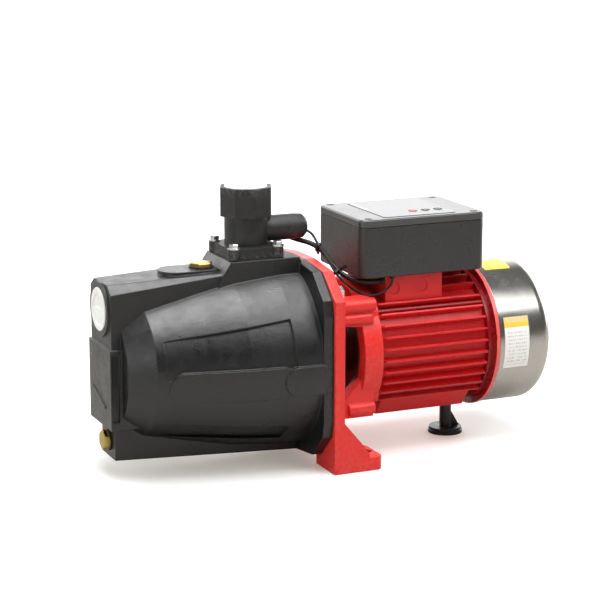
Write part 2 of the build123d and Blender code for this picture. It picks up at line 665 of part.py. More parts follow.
with BuildPart() as motor_housing:
    ring_x(HOUSING_X, HOUSING_R, BORE_R)
    # Radial fins on both sides
    for angle in [*SIDE_FINS, *[180 - angle for angle in SIDE_FINS]]:
        fin((HOUSING_X[0], FIN_END), angle)
    # Short fins behind the terminal base
    for angle in TOP_FINS:
        fin((TERMINAL_X[1] - 1, FIN_END), angle)
    # Bevelled fronts of the fins
    turned([(HOUSING_X[0] - 1, 59), (HOUSING_X[0] - 1, 72), (27, 72)], mode=Mode.SUBTRACT)
    # Terminal base and the smooth pad underneath
    block(TERMINAL_X, (-TERMINAL_HALF, TERMINAL_HALF), (146, BOX_BOTTOM))
    block(TERMINAL_X, (-36, 36), (140, 150))
    with BuildSketch(axis_plane(PAD_X[0])):
        Polygon((-40, -45), (-40, -48), (-26, -65.5), (26, -65.5), (40, -48), (40, -45), align=None)
    extrude(amount=PAD_X[1] - PAD_X[0])
    ring_x((HOUSING_X[0] - 1, HOUSING_X[1] + 1), BORE_R, 0.0, mode=Mode.SUBTRACT)
    # Lead chamber in the terminal base, with its blank knock-outs on the near side
    block((TERMINAL_X[0] + 6, TERMINAL_X[1] - 6), (-34, 34), (140, BOX_BOTTOM + 1), mode=Mode.SUBTRACT)
    for x in (40.5, 70.0):
        rod_y((-TERMINAL_HALF - 1, -TERMINAL_HALF + 1.2), 6.2, x, 160.7, mode=Mode.SUBTRACT)
    rod_z((34, 46), FOOT_SCREW_R + 0.05, FOOT_X, mode=Mode.SUBTRACT)
    for x in BOX_SCREW_X:
        for y in (-BOX_SCREW_Y, BOX_SCREW_Y):
            rod_z((BOX_BOTTOM - 10, BOX_BOTTOM + 1), 1.55, x, y, mode=Mode.SUBTRACT)
finish(motor_housing, "motor_housing")

with BuildPart() as rear_shield:
    ring_x(SHIELD_X, SHIELD_BODY_R, 50)
    ring_x((SHIELD_RIM_X, SHIELD_X[1]), SHIELD_R, 50)
    ring_x((SHIELD_X[0] - 5, SHIELD_X[0]), BORE_R - 0.05, 51.5)
    ring_x((SHIELD_X[1], SHIELD_X[1] + 8), COVER_R - COVER_SHELL - 0.05, 60)
    ring_x((SHIELD_X[0] + 2, SHIELD_X[1]), 51, 15)
    ring_x((124, SHIELD_X[1]), 22, 15)
    ring_x((REAR_BEARING_X[0] - 4, REAR_BEARING_X[1]), 17.5, 10, mode=Mode.SUBTRACT)
    ring_x((REAR_BEARING_X[1], SHIELD_X[1] + 1), 16, 10, mode=Mode.SUBTRACT)
    for angle in TIE_ANGLES:
        y, z = at_angle(TIE_R, angle)
        rod_x((SHIELD_X[0] - 1, SHIELD_X[1] + 9), TIE_HOLE_R, y, z, mode=Mode.SUBTRACT)
        rod_x((SHIELD_X[1], SHIELD_X[1] + 9), 6, y, z, mode=Mode.SUBTRACT)
    cover_screw_holes()
finish(rear_shield, "rear_shield")

with BuildPart() as tie_bolts:
    for angle in TIE_ANGLES:
        y, z = at_angle(TIE_R, angle)
        add(placed(hex_screw(8, 3.5, 2.5, SHIELD_X[1] - 5), (SHIELD_X[1], y, z), (1, 0, 0)))
finish(tie_bolts, "tie_bolts")

with BuildPart() as cooling_fan:
    turned([(148, 6), (148, 12), (152, 12), (152, 38), (154, 38), (154, 12), (166, 12), (166, 6)])
    with BuildSketch(axis_plane(153.5)):
        with PolarLocations(0, 7):
            with Locations((31, 0)):
                Rectangle(46, 2)
    extrude(amount=16)
finish(cooling_fan, "cooling_fan")

with BuildPart() as fan_cover:
    outside = AXIS_Z + COVER_R
    inside = outside - COVER_SHELL
    corner = outside - COVER_CORNER_R
    back = COVER_END_X - COVER_SHELL
    with BuildSketch(Plane.XZ) as cover_outline:
        with BuildLine():
            Line((COVER_START_X, outside), (COVER_STEP_X, outside))
            RadiusArc((COVER_STEP_X, outside), (COVER_END_X, corner), COVER_CORNER_R)
            Line((COVER_END_X, corner), (COVER_END_X, AXIS_Z))
            Line((COVER_END_X, AXIS_Z), (back, AXIS_Z))
            Line((back, AXIS_Z), (back, corner))
            RadiusArc((back, corner), (COVER_STEP_X, inside), COVER_SHELL - COVER_CORNER_R)
            Line((COVER_STEP_X, inside), (COVER_START_X, inside))
            Line((COVER_START_X, inside), (COVER_START_X, outside))
        make_face()
    revolve(axis=SHAFT)
    # Air grille: rings of arc-shaped slots in the rear face
    with BuildSketch(axis_plane(COVER_END_X - COVER_SHELL - 1)):
        for radius, count in ((14, 6), (22, 8), (30, 10), (38, 12), (46, 14)):
            with PolarLocations(radius, count):
                Rectangle(3.6, 0.74 * 2 * pi * radius / count)
    extrude(amount=COVER_SHELL + 2, mode=Mode.SUBTRACT)
    cover_screw_holes()
finish(fan_cover, "fan_cover")

with BuildPart() as cover_screws:
    for angle in COVER_SCREW_ANGLES:
        add(pan_screw(3.6, 2.0, 1.9, 8.0).moved(cover_screw_plane(COVER_R + 0.1, angle).location))
finish(cover_screws, "cover_screws")

with BuildPart() as support_foot:
    rod_z((0, 3), 17, FOOT_X)
    rod_z((3, 6), 16, FOOT_X)
    rod_z((6, 34.5), FOOT_TUBE_R, FOOT_X)
    with BuildSketch(Plane.XZ):
        with BuildLine():
            Polyline([(FOOT_X, 5), (FOOT_X + 15, 5), (FOOT_X + 5, 22), (FOOT_X, 22)], close=True)
        make_face()
    extrude(amount=1.6, both=True)
    rod_z((5, 36), FOOT_SCREW_R + 0.05, FOOT_X, mode=Mode.SUBTRACT)
finish(support_foot, "support_foot")

with BuildPart() as foot_screw:
    rod_z((5, 45), FOOT_SCREW_R, FOOT_X)
finish(foot_screw, "foot_screw")

# ---------------------------------------------------------------- flow switch
with BuildPart() as switch_gasket:
    block((SWITCH_X - 26, SWITCH_X + 26), (-29, 29), (PAD_TOP, SWITCH_BASE))
    rod_z((190, 199), 14, SWITCH_X, mode=Mode.SUBTRACT)
    for x in (SWITCH_X - SWITCH_BOLT_X, SWITCH_X + SWITCH_BOLT_X):
        for y in (-SWITCH_BOLT_Y, SWITCH_BOLT_Y):
            rod_z((190, 199), 3.3, x, y, mode=Mode.SUBTRACT)
finish(switch_gasket, "switch_gasket")

SENSOR_AXIS = Axis((0, 0, SENSOR_Z), (1, 0, 0))
with BuildPart() as flow_switch_body:
    with BuildSketch(Plane.XY.offset(SWITCH_BASE)):
        with Locations((SWITCH_X, 0)):
            RectangleRounded(50, 54, 6)
            for x in (-SWITCH_BOLT_X, SWITCH_BOLT_X):
                for y in (-SWITCH_BOLT_Y, SWITCH_BOLT_Y):
                    with Locations((x, y)):
                        Circle(5.75)
    extrude(amount=10)
    rod_z((SWITCH_BASE, 236), 20.2, SWITCH_X)
    with BuildSketch(Plane.XY.offset(234)):
        with Locations((SWITCH_X, 0)):
            RegularPolygon(23.6, 8, major_radius=False)
    extrude(amount=SWITCH_TOP - 234)
    rod_x((SWITCH_X, -45), 12.1, z=SENSOR_Z)
    # Lead outlet on the far side of the barrel
    rod_x((SWITCH_X, -68), 4.6, 15, 213)
    # Water way: bore, poppet seat and thread wall
    rod_z((196, 262), WATERWAY_R, SWITCH_X, mode=Mode.SUBTRACT)
    rod_z((208, 212), WATERWAY_R + 0.5, SWITCH_X)
    rod_z((207, 213), 11, SWITCH_X, mode=Mode.SUBTRACT)
    seat = SWITCH_TOP - CAP_SEAT
    rod_z((seat - RELIEF - G1_WALL, SWITCH_TOP + 1), G1_WALL_R, SWITCH_X, mode=Mode.SUBTRACT)
    rod_z((seat - RELIEF, SWITCH_TOP + 1), RELIEF_R, SWITCH_X, mode=Mode.SUBTRACT)
    rod_z((seat, SWITCH_TOP + 1), CAP_R + 0.35, SWITCH_X, mode=Mode.SUBTRACT)
    rod_x((-68, -44), 8.5, z=SENSOR_Z, mode=Mode.SUBTRACT)
    for x in (SWITCH_X - SWITCH_BOLT_X, SWITCH_X + SWITCH_BOLT_X):
        for y in (-SWITCH_BOLT_Y, SWITCH_BOLT_Y):
            rod_z((196, 208), 3.05, x, y, mode=Mode.SUBTRACT)
finish(flow_switch_body, "flow_switch_body")

with BuildPart() as switch_bolts:
    small_bolt = hex_screw(8, 5, 3.0, 20, collar_r=6.0)
    for x in (SWITCH_X - SWITCH_BOLT_X, SWITCH_X + SWITCH_BOLT_X):
        for y in (-SWITCH_BOLT_Y, SWITCH_BOLT_Y):
            add(placed(small_bolt, (x, y, 207), (0, 0, 1)))
finish(switch_bolts, "switch_bolts")

with BuildPart() as discharge_cap:
    axis_z = Axis((SWITCH_X, 0, 0), (0, 0, 1))
    with BuildSketch(Plane.XZ):
        with BuildLine():
            Polyline(
                [
                    (SWITCH_X, seat + 0.8), (SWITCH_X + 14, seat + 0.8), (SWITCH_X + 15, seat + 2.5),
                    (SWITCH_X + CAP_R - 0.6, seat + 2.5), (SWITCH_X + CAP_R, seat + 1.9),
                    (SWITCH_X + CAP_R, seat),
                    (SWITCH_X + CAP_PLUG_R, seat), (SWITCH_X + CAP_PLUG_R - 0.3, seat - CAP_PLUG),
                    (SWITCH_X + CAP_PLUG_R - 2, seat - CAP_PLUG), (SWITCH_X + CAP_PLUG_R - 2, seat - 0.6),
                    (SWITCH_X, seat - 0.6),
                ],
                close=True,
            )
        make_face()
    revolve(axis=axis_z)
finish(discharge_cap, "discharge_cap")

with BuildPart() as flow_poppet:
    rod_z((212, 215), 13, SWITCH_X)
    rod_z((214, 220), 5, SWITCH_X)
    rod_z((219, 234), 2.5, SWITCH_X)
finish(flow_poppet, "flow_poppet")

with BuildPart() as flow_spider:
    with BuildSketch(Plane.XY.offset(228)):
        with Locations((SWITCH_X, 0)):
            Circle(WATERWAY_R - 0.05)
            Circle(12.4, mode=Mode.SUBTRACT)
            Rectangle(26, 2.4)
            Rectangle(2.4, 26)
            Circle(4.5)
            Circle(2.56, mode=Mode.SUBTRACT)
    extrude(amount=3)
finish(flow_spider, "flow_spider")

with BuildPart() as flow_spring:
    with BuildLine() as flow_coil:
        Helix(pitch=3.0, height=10.8, radius=6.6, center=(SWITCH_X, 0, 216.1), direction=(0, 0, 1))
    with BuildSketch(Plane(origin=flow_coil.wire() @ 0, z_dir=flow_coil.wire() % 0)):
        Circle(0.5)
    sweep(is_frenet=True)
finish(flow_spring, "flow_spring")

with BuildPart() as reed_switch:
    block((-66, -47), (-5, 5), (SENSOR_Z - 3, SENSOR_Z - 1.4))
    rod_x((-64, -52), 1.3, z=SENSOR_Z)
finish(reed_switch, "reed_switch")

with BuildPart() as sensor_cap:
    turned([(-48, 0), (-48, 8.4), (-45, 8.4), (-45, 12.1), (-37, 11.4), (-34, 8.6), (-33.3, 7.2), (-33.3, 0)],
           axis=SENSOR_AXIS)
    rod_x((-49, -46.5), 7.4, z=SENSOR_Z, mode=Mode.SUBTRACT)
finish(sensor_cap, "sensor_cap")

# ---------------------------------------------------------------- control box
with BuildPart() as control_box_base:
    box_middle = sum(BOX_X) / 2
    box_length = BOX_X[1] - BOX_X[0]
    with BuildSketch(Plane.XY.offset(BOX_BOTTOM)):
        with Locations((box_middle, 0)):
            RectangleRounded(box_length, 2 * BOX_HALF, BOX_CORNER)
    extrude(amount=LID_JOINT - BOX_BOTTOM)
    fillet(control_box_base.faces().sort_by(Axis.Z)[0].edges(), 2.4)
    with BuildSketch(Plane.XY.offset(BOX_BOTTOM + BOX_WALL)):
        with Locations((box_middle, 0)):
            RectangleRounded(box_length - 2 * BOX_WALL, 2 * (BOX_HALF - BOX_WALL), BOX_CORNER - BOX_WALL)
    extrude(amount=60, mode=Mode.SUBTRACT)
    for x in LID_SCREW_X:
        for y in (-LID_SCREW_Y, LID_SCREW_Y):
            rod_z((BOX_BOTTOM + 1, LID_JOINT), LID_POST_R, x, y)
            rod_z((LID_JOINT - 14, LID_JOINT + 1), 1.75, x, y, mode=Mode.SUBTRACT)
    for x in (26, 108):
        for y in (-28, 28):
            rod_z((BOX_BOTTOM + 1, 184), 3.5, x, y)
    # Way down to the motor's leads, and the screw holes on the terminal base
    block((44, 76), (-18, 18), (BOX_BOTTOM - 1, BOX_BOTTOM + 5), mode=Mode.SUBTRACT)
    for x in BOX_SCREW_X:
        for y in (-BOX_SCREW_Y, BOX_SCREW_Y):
            rod_z((BOX_BOTTOM - 1, BOX_BOTTOM + 4), 1.8, x, y, mode=Mode.SUBTRACT)
    rod_y((40, 60), 7.55, GLAND_X, GLAND_Z, mode=Mode.SUBTRACT)
finish(control_box_base, "control_box_base")

with BuildPart() as box_screws:
    for x in BOX_SCREW_X:
        for y in (-BOX_SCREW_Y, BOX_SCREW_Y):
            add(placed(pan_screw(3.2, 2.2, 1.5, 11), (x, y, BOX_BOTTOM + BOX_WALL), (0, 0, 1)))
finish(box_screws, "box_screws")

with BuildPart() as lid_gasket:
    with BuildSketch(Plane.XY.offset(LID_JOINT)):
        with Locations((box_middle, 0)):
            RectangleRounded(box_length - 1.6, 2 * BOX_HALF - 1.6, BOX_CORNER - 0.8)
            RectangleRounded(box_length - 3.4, 2 * BOX_HALF - 3.4, BOX_CORNER - 1.7, mode=Mode.SUBTRACT)
    extrude(amount=1.0)
finish(lid_gasket, "lid_gasket")

with BuildPart() as control_box_lid:
    with BuildSketch(Plane.XY.offset(LID_JOINT + 1)):
        with Locations((box_middle, 0)):
            RectangleRounded(box_length, 2 * BOX_HALF, BOX_CORNER)
    extrude(amount=LID_TOP - LID_JOINT - 1)
    fillet(control_box_lid.faces().sort_by(Axis.Z)[-1].edges(), 1.8)
    with BuildSketch(Plane.XY.offset(LID_JOINT + 1)):
        with Locations((box_middle, 0)):
            RectangleRounded(box_length - 2 * BOX_WALL, 2 * (BOX_HALF - BOX_WALL), BOX_CORNER - BOX_WALL)
    extrude(amount=LID_TOP - LID_JOINT - 1 - BOX_WALL, mode=Mode.SUBTRACT)
    for x in LID_SCREW_X:
        for y in (-LID_SCREW_Y, LID_SCREW_Y):
            rod_z((LID_JOINT + 1, LID_TOP - 1), LID_POST_R, x, y)
            rod_z((LID_JOINT, LID_TOP + 1), 2.0, x, y, mode=Mode.SUBTRACT)
            rod_z((LID_TOP - 2.2, LID_TOP + 1), 3.8, x, y, mode=Mode.SUBTRACT)
    for x in (62, 108):
        for y in (-30, -5):
            rod_z((223.1, LID_TOP - 1), 2.0, x, y)
    for x in KEYS.values():
        rod_z((LID_TOP - 4, LID_TOP + 1), KEY_R + KEY_GAP, x, KEY_Y, mode=Mode.SUBTRACT)
finish(control_box_lid, "control_box_lid")

with BuildPart() as lid_screws:
    for x in LID_SCREW_X:
        for y in (-LID_SCREW_Y, LID_SCREW_Y):
            add(placed(pan_screw(3.4, 2.0, 1.7, 18), (x, y, LID_TOP - 2.2), (0, 0, 1)))
finish(lid_screws, "lid_screws")

with BuildPart() as lid_panel:
    with BuildSketch(Plane.XY.offset(LID_TOP)):
        with Locations((PANEL_X, 0)):
            RectangleRounded(*PANEL_SIZE, 4)
        for x in KEYS.values():
            with Locations((x, KEY_Y)):
                Circle(KEY_R + KEY_GAP, mode=Mode.SUBTRACT)
    extrude(amount=0.4)
finish(lid_panel, "lid_panel")

for name, x in KEYS.items():
    with BuildPart() as key:
        rod_z((226.2, LID_TOP + 1.1), KEY_R, x, KEY_Y)
        fillet(key.faces().sort_by(Axis.Z)[-1].edges(), 0.5)
        rod_z((225.0, 226.3), KEY_R + 1.2, x, KEY_Y)
    finish(key, name)

with BuildPart() as key_board:
    block((58, 112), (-33, -2), (221.5, 223.1))
    for x in KEYS.values():
        block((x - 3, x + 3), (KEY_Y - 3, KEY_Y + 3), (223.1, 223.9))
        rod_z((223.8, 224.1), 1.6, x, KEY_Y)
finish(key_board, "key_board")

with BuildPart() as control_board:
    block((20, 114), (-34, 34), (184, 185.6))
    block((30, 44), (-30, -12), (185.6, 199))
    block((50, 68), (-28, -16), (185.6, 201))
    block((76, 104), (-30, -8), (185.6, 191))
    rod_z((185.6, 196), 5, 90, 24)
    rod_z((185.6, 196), 5, 104, 24)
finish(control_board, "control_board")

with BuildPart() as run_capacitor:
    rod_x((18, 78), 14, 16, 201)
    fillet(run_capacitor.edges().filter_by(GeomType.CIRCLE), 1.5)
finish(run_capacitor, "run_capacitor")

with BuildPart() as cable_gland:
    with BuildSketch(Plane.XZ.offset(-BOX_HALF)):
        with Locations((GLAND_X, GLAND_Z)):
            RegularPolygon(9.5, 6, major_radius=False)
    extrude(amount=-5)
    rod_y((BOX_HALF + 5, BOX_HALF + 15), 8.6, GLAND_X, GLAND_Z)
    rod_y((BOX_HALF - 8, BOX_HALF), 7.5, GLAND_X, GLAND_Z)
    rod_y((BOX_HALF - 9, BOX_HALF + 16), 4.0, GLAND_X, GLAND_Z, mode=Mode.SUBTRACT)
    # Its locknut, inside the wall
    with BuildSketch(Plane.XZ.offset(-(BOX_HALF - BOX_WALL))):
        with Locations((GLAND_X, GLAND_Z)):
            RegularPolygon(10, 6, major_radius=False)
            Circle(7.55, mode=Mode.SUBTRACT)
    extrude(amount=4)
finish(cable_gland, "cable_gland")

# ---------------------------------------------------------------- sensor leads
POWER_LEAD_R = 2.4
SIGNAL_LEAD_R = 1.2
POWER_ROUTE = [
    (-68, 15, 213), (-57, 15, 213), (-47, 12, 208.5), (-37.5, 5, 205),
    (-29, -2.5, 203), (-21.5, -10, 198), (-16.5, -16.5, 190), (-13, -22.5, 182),
    (-7, -29.5, 175), (3, -35.5, 170), (15, -38.5, 168), (28, -38.5, 168),
]
SIGNAL_ROUTE = [
    (-33, -3.5, 215.4), (-28.5, -4.6, 212.9), (-26.1, -7.4, 208), (-24.5, -11, 202.8), (-21.8, -15.1, 197.3),
    (-19, -20, 190.2), (-16.3, -25.7, 182.4), (-12.5, -31.5, 174), (-4.5, -35.5, 165.8), (5, -38.5, 158.5),
    (14, -41, 155), (23, -43.5, 156.5), (31, -45.5, 160.5), (37, -45.5, 166), (37, -45.5, 171.6),
]


def tube(route, radius):
    """A cord's tube: straight runs joined by the largest tangent arcs that they allow."""
    runs = [dist(a, b) for a, b in zip(route, route[1:])]
    radii = []
    for number in range(1, len(route) - 1):
        before = Vector(*route[number]) - Vector(*route[number - 1])
        after = Vector(*route[number + 1]) - Vector(*route[number])
        half_turn = radians(before.get_angle(after)) / 2
        radii.append(0.45 * min(runs[number - 1], runs[number]) / tan(half_turn))
    with BuildPart() as cord:
        with BuildLine() as path:
            FilletPolyline(*route, radius=radii)
        with BuildSketch(Plane(origin=route[0], z_dir=Vector(*route[1]) - Vector(*route[0]))):
            Circle(radius)
        sweep()
    length = path.wire().length
    expected = pi * radius**2 * length
    print("cord", round(length, 1), "mm, volume over section x length", round(cord.part.volume / expected, 4))
    print("radii", [round(r, 1) for r in radii])
    return cord, path.wire()


power_lead, power_line = tube(POWER_ROUTE, POWER_LEAD_R)
finish(power_lead, "power_lead")
signal_lead, signal_line = tube(SIGNAL_ROUTE, SIGNAL_LEAD_R)
finish(signal_lead, "signal_lead")

TIE_PLACES = (0.43, 0.66)  # of the power lead's length
BAND = 0.9              # thickness of a cable tie's band
BAND_WIDTH = 2.0
BAND_GAP = 0.75


def nearest(line, point):
    """The point of a line that lies nearest to another point."""
    return min((line @ (step / 300) for step in range(301)), key=lambda place: (place - point).length)


with BuildPart() as cable_ties:
    for fraction in TIE_PLACES:
        centre = power_line @ fraction
        along = power_line % fraction
        apart = nearest(signal_line, centre) - centre
        outward = along * apart.dot(along) - apart
        across = Plane(origin=centre, x_dir=outward, z_dir=along)
        for gap, mode in ((BAND_GAP + BAND, Mode.ADD), (BAND_GAP, Mode.SUBTRACT)):
            with BuildSketch(across):
                Circle(POWER_LEAD_R + gap)
                with Locations((-outward.length, 0)):
                    Circle(SIGNAL_LEAD_R + gap)
                make_hull()
            extrude(amount=BAND_WIDTH / 2, both=True, mode=mode)
        # Its lock, with the tail standing out from it
        with BuildSketch(across):
            with Locations((POWER_LEAD_R + 2.4, 0)):
                Rectangle(3.2, 4.0)
            with Locations((POWER_LEAD_R + 7.5, 0.8)):
                Rectangle(9, 0.9)
        extrude(amount=BAND_WIDTH / 2 + 0.3, both=True)
finish(cable_ties, "cable_ties")

with BuildPart() as lead_grommets:
    rod_x((28, TERMINAL_X[0]), 3.4, -38.5, 168)
    rod_z((171.6, BOX_BOTTOM), 2.6, 37, -45.5)
finish(lead_grommets, "lead_grommets")

# ---------------------------------------------------------------- labels on the fan cover
with BuildPart() as side_label:
    ring_x((146.5, 173), COVER_R + 0.25, COVER_R)
    block((140, 180), (-80, -20), (77.5, 127), mode=Mode.INTERSECT)
finish(side_label, "side_label")

with BuildPart() as top_label:
    ring_x((148, 176), COVER_R + 0.25, COVER_R)
    block((140, 190), (-24, 16), (150, 180), mode=Mode.INTERSECT)
finish(top_label, "top_label")
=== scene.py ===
"""Shallow well jet pump: camera, leads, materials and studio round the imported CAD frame.

Lengths are in metres, and angles are turned into radians.
"""

import json
import math

import bpy
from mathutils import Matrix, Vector


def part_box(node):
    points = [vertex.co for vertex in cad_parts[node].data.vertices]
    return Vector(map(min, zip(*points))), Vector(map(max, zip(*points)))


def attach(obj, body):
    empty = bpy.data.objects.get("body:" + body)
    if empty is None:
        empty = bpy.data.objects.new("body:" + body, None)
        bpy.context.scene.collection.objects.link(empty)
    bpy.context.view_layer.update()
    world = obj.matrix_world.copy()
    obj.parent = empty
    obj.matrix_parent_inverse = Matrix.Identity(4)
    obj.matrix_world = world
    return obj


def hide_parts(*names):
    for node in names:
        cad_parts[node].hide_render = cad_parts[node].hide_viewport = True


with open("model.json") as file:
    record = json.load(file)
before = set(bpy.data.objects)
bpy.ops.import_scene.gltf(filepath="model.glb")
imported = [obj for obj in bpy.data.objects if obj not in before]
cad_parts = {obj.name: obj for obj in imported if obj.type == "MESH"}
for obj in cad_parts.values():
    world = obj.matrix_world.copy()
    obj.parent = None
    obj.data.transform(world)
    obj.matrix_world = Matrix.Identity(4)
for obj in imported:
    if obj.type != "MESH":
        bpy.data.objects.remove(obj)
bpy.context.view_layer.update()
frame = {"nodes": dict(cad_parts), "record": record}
nodes = frame["nodes"]

# ---------------------------------------------------------------- camera

CAMERA_AZIMUTH = math.radians(-23.57)
CAMERA_ELEVATION = math.radians(12.54)
CAMERA_DISTANCE = 1.9
CAMERA_TARGET = Vector((-0.038, 0.0, 0.14765))
LENS_MM = 120.0
SENSOR_MM = 36.0

towards_camera = Vector(
    (
        math.sin(CAMERA_AZIMUTH) * math.cos(CAMERA_ELEVATION),
        -math.cos(CAMERA_AZIMUTH) * math.cos(CAMERA_ELEVATION),
        math.sin(CAMERA_ELEVATION),
    )
)
camera_data = bpy.data.cameras.new("camera")
camera_data.lens = LENS_MM
camera_data.sensor_width = SENSOR_MM
camera = bpy.data.objects.new("camera", camera_data)
bpy.context.scene.collection.objects.link(camera)
camera.location = CAMERA_TARGET + towards_camera * CAMERA_DISTANCE
camera.rotation_mode = "QUATERNION"
camera.rotation_quaternion = (-towards_camera).to_track_quat("-Z", "Y")
bpy.context.scene.camera = camera
bpy.context.scene.view_settings.view_transform = "Standard"

# ---------------------------------------------------------------- leads

POWER_LEAD_RADIUS = 0.0024
SIGNAL_LEAD_RADIUS = 0.0012
# Control points from the flow switch to the grommets under the control box, exit first
POWER_ROUTE = (
    (-0.068, 0.015, 0.213),
    (-0.057, 0.015, 0.213),
    (-0.047, 0.012, 0.2085),
    (-0.0375, 0.005, 0.205),
    (-0.029, -0.0025, 0.203),
    (-0.0215, -0.010, 0.198),
    (-0.0165, -0.0165, 0.190),
    (-0.013, -0.0225, 0.182),
    (-0.007, -0.0295, 0.175),
    (0.003, -0.0355, 0.170),
    (0.015, -0.0385, 0.168),
    (0.028, -0.0385, 0.168),
)
SIGNAL_ROUTE = (
    (-0.033, -0.0035, 0.2154),
    (-0.0285, -0.0046, 0.2129),
    (-0.0261, -0.0074, 0.208),
    (-0.0245, -0.011, 0.2028),
    (-0.0218, -0.0151, 0.1973),
    (-0.019, -0.02, 0.1902),
    (-0.0163, -0.0257, 0.1824),
    (-0.0125, -0.0315, 0.174),
    (-0.0045, -0.0355, 0.1658),
    (0.005, -0.0385, 0.1585),
    (0.014, -0.041, 0.155),
    (0.023, -0.0435, 0.1565),
    (0.031, -0.0455, 0.1605),
    (0.037, -0.0455, 0.166),
    (0.037, -0.0455, 0.1716),
)


def lead(name, route, radius):
    """A round lead along a route, as one smooth curve.

    Its points carry the radius, so its bounds are true.
    """
    curve = bpy.data.curves.new(name, "CURVE")
    curve.dimensions = "3D"
    curve.resolution_u = 12
    curve.bevel_depth = 1.0
    curve.bevel_resolution = 5
    curve.use_fill_caps = True
    spline = curve.splines.new("NURBS")
    spline.points.add(len(route) - 1)
    for point, place in zip(spline.points, route):
        point.co = (*place, 1.0)
        point.radius = radius
    spline.order_u = 3
    spline.use_endpoint_u = True
    piece = bpy.data.objects.new(name, curve)
    bpy.context.scene.collection.objects.link(piece)
    return piece


power_lead = lead("power_lead_sheath", POWER_ROUTE, POWER_LEAD_RADIUS)
signal_lead = lead("signal_lead_sheath", SIGNAL_ROUTE, SIGNAL_LEAD_RADIUS)
for piece, node in ((power_lead, "power_lead"), (signal_lead, "signal_lead")):
    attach(piece, "pump")
    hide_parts(node)

# ---------------------------------------------------------------- materials

BEVEL_SAMPLES = 6
EDGE_SOFTNESS = 0.0002  # half the width over which a drawn line's edge fades
SHAFT_HEIGHT = 0.1
HIGHLIGHT_RIM_RADIUS = 0.071  # the rear shield's narrow rim, where a highlight is painted
PAINTED_SHADE_RADIUS = 0.0525  # the bracket's hollow round the shaft, inside which shade is painted
PAINTED_SHADE_FADE = 0.0012  # width over which the painted shade in the hollow fades into the red paint
DEEP_RED = (0.68, 0.016, 0.020)


class Surface:
    """A procedural material on a Principled shader, with helpers for the nodes that feed it."""

    def __init__(self, name, **sockets):
        self.material = bpy.data.materials.new(name)
        self.material.use_nodes = True
        self.tree = self.material.node_tree
        self.tree.nodes.clear()
        self.output = self.tree.nodes.new("ShaderNodeOutputMaterial")
        self.shader = self.tree.nodes.new("ShaderNodeBsdfPrincipled")
        self.join(self.shader.outputs["BSDF"], self.output.inputs["Surface"])
        for socket, value in sockets.items():
            self.shader.inputs[socket.replace("_", " ")].default_value = value
        self.place = self.add("ShaderNodeTexCoord").outputs["Object"]

    def add(self, kind, **inputs):
        """A new node, with its inputs set or linked by name."""
        node = self.tree.nodes.new(kind)
        for name, value in inputs.items():
            self.feed(node.inputs[name.replace("_", " ")], value)
        return node

    def join(self, source, target):
        self.tree.links.new(source, target)

    def feed(self, socket, value):
        """Links an output to a socket, or sets the socket's own value."""
        if isinstance(value, bpy.types.NodeSocket):
            self.join(value, socket)
        else:
            socket.default_value = value

    def noise(self, scale, detail=3.0, roughness=0.55, stretch=None):
        """Noise of that many cells a metre, stretched along an axis if asked."""
        place = self.place
        if stretch:
            mapping = self.add("ShaderNodeMapping", Vector=place, Scale=stretch)
            place = mapping.outputs["Vector"]
        node = self.add("ShaderNodeTexNoise", Vector=place, Scale=scale, Detail=detail)
        node.inputs["Roughness"].default_value = roughness
        return node.outputs["Fac"]

    def span(self, value, low, high, to_low=0.0, to_high=1.0):
        """Maps a value from one range to another, smoothly and held at both ends."""
        node = self.add("ShaderNodeMapRange", Value=value)
        node.interpolation_type = "SMOOTHSTEP"
        for socket, number in zip(("From Min", "From Max"), (low, high)):
            node.inputs[socket].default_value = number
        for socket, number in zip(("To Min", "To Max"), (to_low, to_high)):
            node.inputs[socket].default_value = number
        return node.outputs["Result"]

    def maths(self, operation, first, second):
        """One arithmetic step on two values."""
        node = self.add("ShaderNodeMath")
        node.operation = operation
        self.feed(node.inputs[0], first)
        self.feed(node.inputs[1], second)
        return node.outputs["Value"]

    def blend(self, share, first, second):
        """A colour between two, by share."""
        node = self.add("ShaderNodeMix")
        node.data_type = "RGBA"
        for name, value in (("Factor", share), ("A", first), ("B", second)):
            kind = "VALUE" if name == "Factor" else "RGBA"
            fits = (s for s in node.inputs if s.name == name and s.enabled and s.type == kind)
            self.feed(next(fits), value)
        return next(s for s in node.outputs if s.enabled and s.type == "RGBA")

    def axis(self, name):
        """One coordinate of the point, in the object's own frame."""
        split = self.add("ShaderNodeSeparateXYZ", Vector=self.place)
        return split.outputs[name]

    def within(self, name, low, high):
        """1 where that coordinate lies between two values, else 0."""
        value = self.axis(name)
        rise = self.span(value, low - EDGE_SOFTNESS, low + EDGE_SOFTNESS)
        fall = self.span(value, high - EDGE_SOFTNESS, high + EDGE_SOFTNESS, 1.0, 0.0)
        return self.maths("MULTIPLY", rise, fall)

    def crests(self):
        """1 on sharp outer edges, where wear shows, else 0."""
        return self.span(self.add("ShaderNodeNewGeometry").outputs["Pointiness"], 0.53, 0.62)

    def relief(self, bumps, edge=0.0):
        """Feeds the shader's normal from (height, depth) pairs, over edges rounded by that radius."""
        normal = None
        if edge:
            rounding = self.add("ShaderNodeBevel", Radius=edge)
            rounding.samples = BEVEL_SAMPLES
            normal = rounding.outputs["Normal"]
        for height, depth in bumps:
            bump = self.add("ShaderNodeBump", Height=height, Distance=depth)
            if normal:
                self.join(normal, bump.inputs["Normal"])
            normal = bump.outputs["Normal"]
        if normal:
            self.join(normal, self.shader.inputs["Normal"])


def shade(colour, factor):
    """A colour made lighter or darker, with alpha."""
    return tuple(min(1.0, c * factor) for c in colour) + (1.0,)


